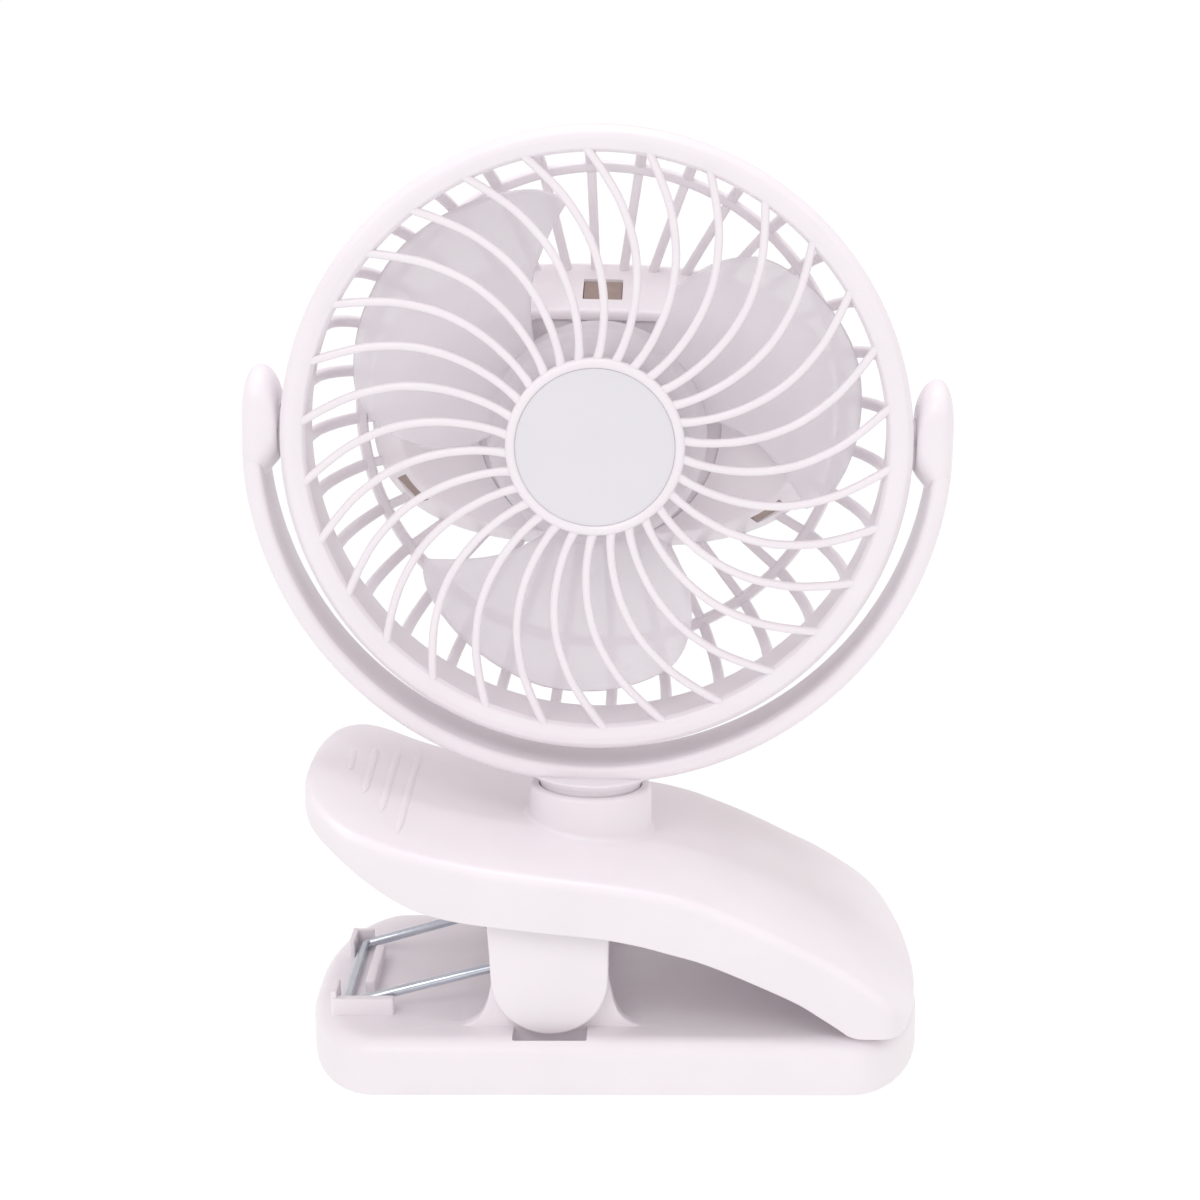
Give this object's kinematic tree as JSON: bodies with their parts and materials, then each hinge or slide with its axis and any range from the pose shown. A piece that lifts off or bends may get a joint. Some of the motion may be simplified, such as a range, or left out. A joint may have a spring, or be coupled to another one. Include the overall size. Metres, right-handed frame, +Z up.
{
  "type": "clip fan",
  "caption": "Small caged fan that tilts in a U-shaped yoke and swivels on a sprung S-shaped clip with a flat base.",
  "frame": {"origin": "middle of the base, on the plane that the anti-slip pad rests on", "axes": "+Z up, +X towards the tip of the jaw, the fan blows towards -Y"},
  "size_m": [0.1506, 0.091, 0.2001],
  "materials": {
    "shell_white": "satin moulded, near white with a faint pink cast",
    "plate_white": "matt moulded",
    "pad_rubber": "fine matt grain",
    "steel": "bright drawn wire and plated screws",
    "cap_grey": "fine satin",
    "blade_translucent": "cloudy translucent",
    "motor_case": "plated can",
    "cell_sleeve": "shrink sleeve",
    "board_green": "solder mask",
    "switch_black": "matt",
    "lens_clear": "clear, polished"
  },
  "bodies": {
    "base": {"base_shell": "shell_white", "bottom_plate": "plate_white", "base_pad": "pad_rubber", "plate_screw_1": "steel", "plate_screw_2": "steel", "plate_screw_3": "steel", "plate_screw_4": "steel", "hinge_pin": "steel", "torsion_spring": "steel"},
    "arm": {"clamp_arm_shell": "shell_white"},
    "yoke_body": {"yoke": "shell_white", "swivel_washer": "steel", "swivel_screw": "steel"},
    "head": {"front_grille": "shell_white", "center_cap": "cap_grey", "rear_cage_1": "shell_white", "rear_cage_2": "shell_white", "rear_cage_3": "shell_white", "rear_cage_4": "shell_white", "rear_cage_5": "shell_white", "rear_cage_6": "shell_white", "rear_cage_7": "shell_white", "rear_cage_8": "shell_white", "cage_back": "shell_white", "motor_housing": "shell_white", "rear_cover": "shell_white", "motor": "motor_case", "motor_screw_1": "steel", "motor_screw_2": "steel", "battery_cell": "cell_sleeve", "battery_contact_negative": "steel", "battery_contact_positive": "steel", "circuit_board": "board_green", "tact_switch": "switch_black", "usb_port": "steel", "indicator_lens": "lens_clear"},
    "rotor": {"impeller": "blade_translucent", "motor_shaft": "steel"},
    "button": {"power_button": "shell_white"}
  },
  "joints": [
    {"name": "clamp_hinge", "type": "hinge", "parent": "base", "child": "arm", "pos_m": [-0.0128, 0, 0.0244], "axis": [0, -1, 0], "range_deg": [0, 30], "stiffness_Nm_per_rad": 1.2, "springref_deg": -25.78, "deforming": ["torsion_spring"]},
    {"name": "yoke_swivel", "type": "hinge", "parent": "arm", "child": "yoke_body", "pos_m": [-0.0025, 0, 0.1336], "axis": [0.0314, 0, 0.9995], "continuous": true},
    {"name": "head_tilt", "type": "hinge", "parent": "yoke_body", "child": "head", "pos_m": [-0.0025, 0, 0.1336], "axis": [0.9995, 0, -0.0314], "continuous": true},
    {"name": "impeller_spin", "type": "hinge", "parent": "head", "child": "rotor", "pos_m": [-0.0025, 0, 0.1336], "axis": [0, 1, 0], "continuous": true},
    {"name": "power_button_press", "type": "slide", "parent": "head", "child": "button", "axis": [0, -1, 0], "range_m": [0, 0.0008], "stiffness_N_per_m": 500, "springref_m": -0.001}
  ]
}
